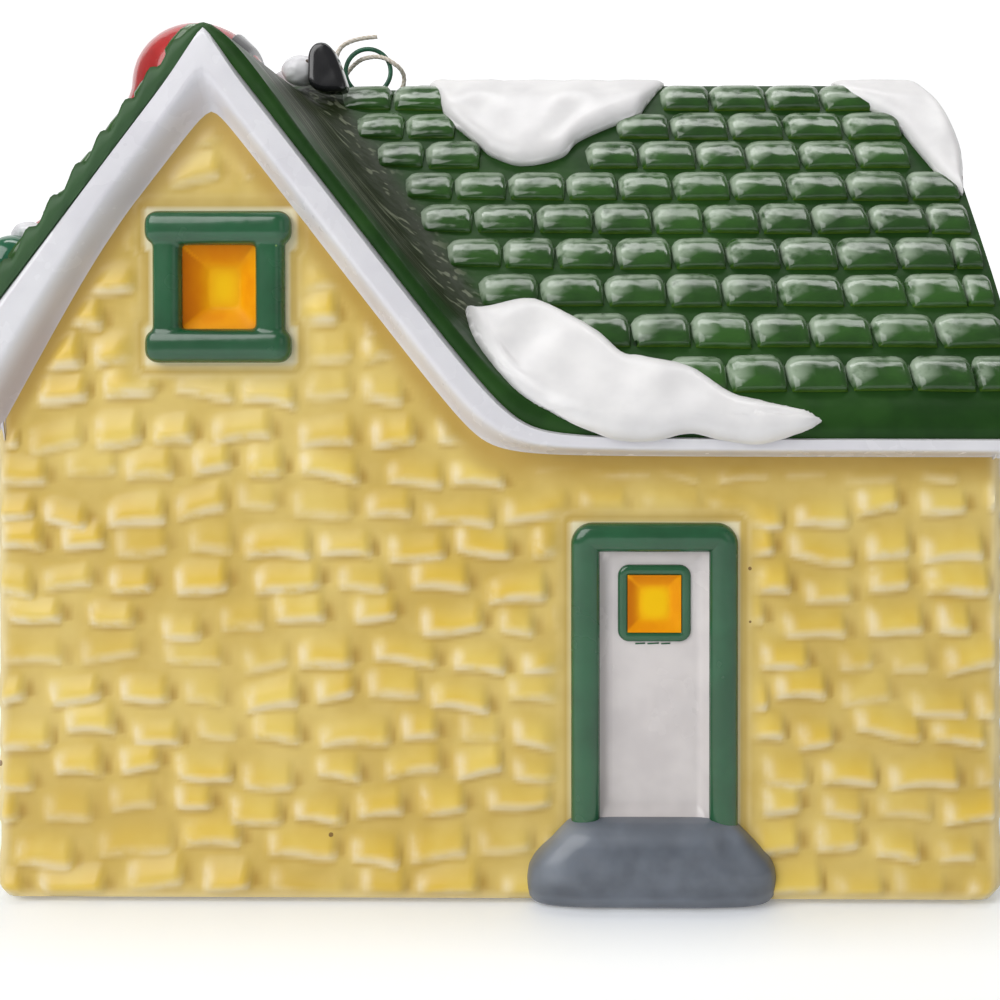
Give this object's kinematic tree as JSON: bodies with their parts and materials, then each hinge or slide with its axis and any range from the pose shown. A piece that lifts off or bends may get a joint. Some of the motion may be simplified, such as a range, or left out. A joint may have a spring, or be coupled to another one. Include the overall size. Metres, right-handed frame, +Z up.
{
  "type": "christmas house ornament",
  "caption": "Glazed ceramic village house ornament with a gable front, a side wing, snow on its roof, a red-suited figure behind the ridge and a wire hanging ring tied with twine.",
  "frame": {"origin": "middle of the flat underside, between the four walls", "axes": "+Z up, -Y towards the viewer out of the front wall, +X to the viewer's right along the long ridge"},
  "size_m": [0.1419, 0.0835, 0.1238],
  "materials": {
    "wall_glaze": "glossy yellow glaze, paler on the bricks' edges and brown in the joints",
    "bare_clay": "matt unglazed white clay",
    "roof_glaze": "glossy dark green glaze, grey-green where it thins on the shingles",
    "trim_glaze": "glossy white glaze",
    "green_glaze": "glossy leaf-green glaze",
    "pane_glaze": "glossy amber glaze",
    "door_glaze": "glossy off-white glaze",
    "step_glaze": "glossy blue-grey glaze",
    "snow_glaze": "glossy white glaze with pinholes",
    "red_glaze": "glossy red glaze",
    "black_glaze": "glossy black glaze",
    "fur_glaze": "glossy white glaze, stippled",
    "mitten_glaze": "glossy deep green glaze",
    "face_glaze": "glossy flesh-coloured glaze",
    "green_wire": "green enamelled florist wire",
    "twine": "natural undyed twine"
  },
  "bodies": {
    "house": {"wall_shell": "wall_glaze", "floor_plate": "bare_clay", "roof_shell": "roof_glaze", "front_bargeboard": "trim_glaze", "rear_bargeboard": "trim_glaze", "end_bargeboard": "trim_glaze", "front_fascia": "trim_glaze", "rear_fascia": "trim_glaze", "left_fascia": "trim_glaze", "gable_window_frame": "green_glaze", "door_surround": "green_glaze", "door_light_rim": "green_glaze", "gable_window_pane": "pane_glaze", "door_light_pane": "pane_glaze", "door_panel": "door_glaze", "doorstep": "step_glaze", "ridge_snow": "snow_glaze", "corner_snow": "snow_glaze", "valley_snow": "snow_glaze", "figure_coat": "red_glaze", "figure_legs": "red_glaze", "sleeves": "red_glaze", "hat": "red_glaze", "figure_belt": "black_glaze", "boots": "black_glaze", "ankle_cuffs": "fur_glaze", "wrist_cuffs": "fur_glaze", "beard": "fur_glaze", "hat_trim": "fur_glaze", "pompom": "fur_glaze", "mittens": "mitten_glaze", "figure_head": "face_glaze", "wire_eye": "green_wire"},
    "hanger": {"wire_ring": "green_wire", "twine_tie": "twine"}
  },
  "joints": [
    {"name": "ring_swing", "type": "hinge", "parent": "house", "child": "hanger", "pos_m": [-0.0258, 0.0026, 0.11389], "axis": [-1, 0, 0], "range_deg": [-40, 110]}
  ]
}
